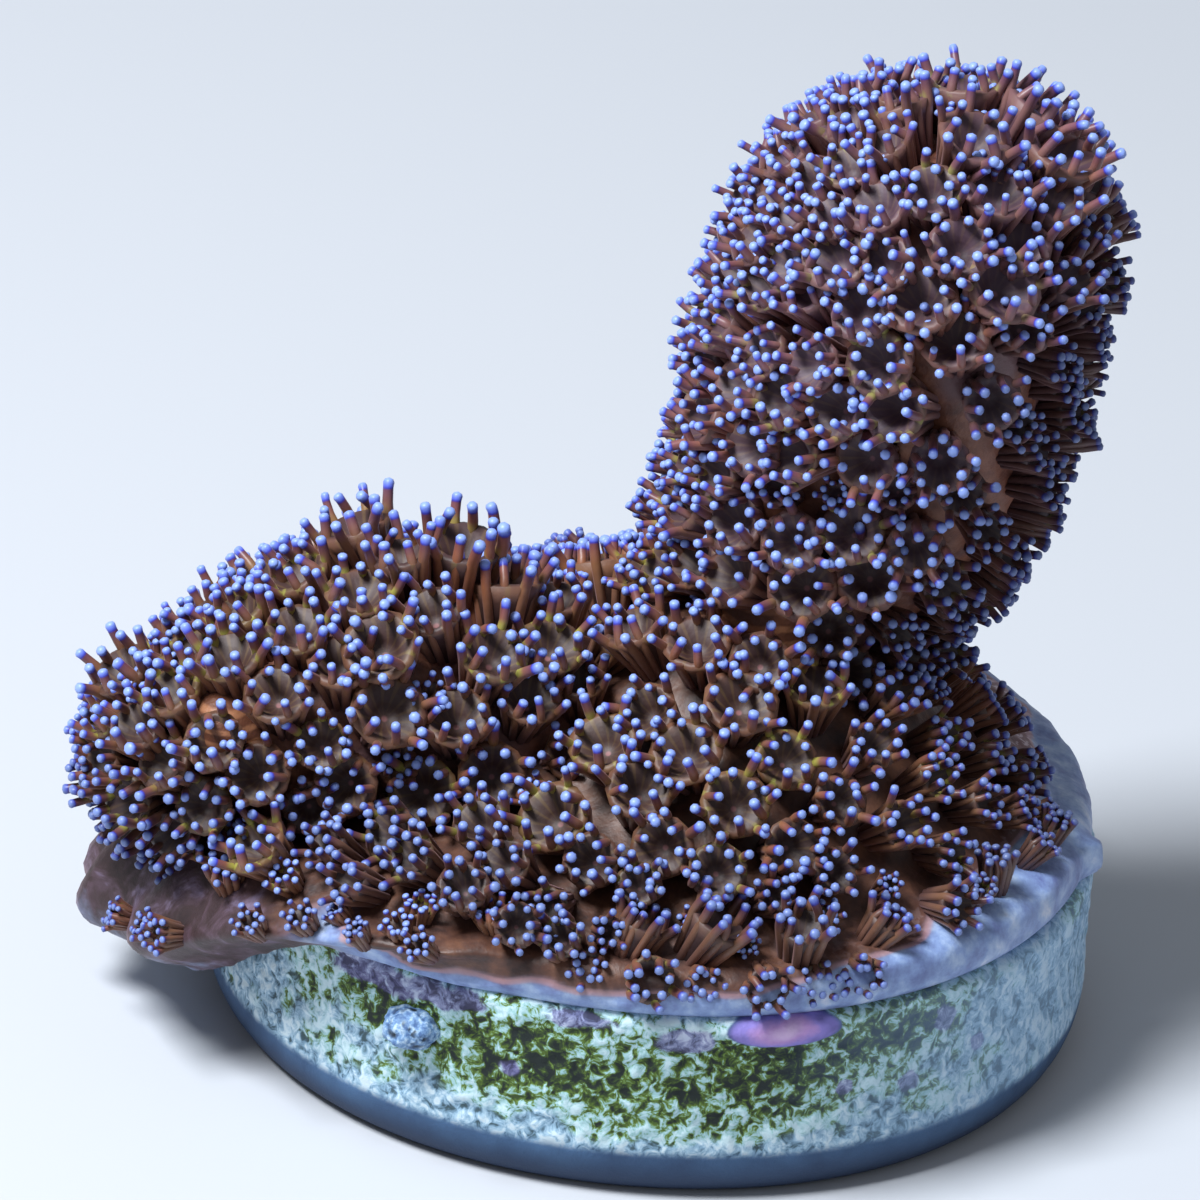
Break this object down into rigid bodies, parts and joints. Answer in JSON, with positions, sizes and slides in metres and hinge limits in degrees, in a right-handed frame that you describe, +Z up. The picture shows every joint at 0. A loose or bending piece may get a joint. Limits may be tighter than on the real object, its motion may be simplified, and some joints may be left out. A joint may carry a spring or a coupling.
{
  "type": "smooth cauliflower coral",
  "caption": "Small branching stony coral with its polyps out, grown over a round ceramic plug disc: one tall club-shaped branch and one low branch that overhangs the rim.",
  "frame": {"origin": "centre of the plug disc's flat underside", "axes": "+Z up, +X towards the tall branch's side, -Y towards the viewer of the picture"},
  "size_m": [0.0301, 0.0249, 0.0298],
  "materials": {
    "plug_ceramic": "matte",
    "coral_tissue": "satin"
  },
  "bodies": {
    "root": {"plug_disc": "plug_ceramic", "encrusting_base": "coral_tissue", "left_branch": "coral_tissue", "right_branch": "coral_tissue"}
  },
  "joints": []
}
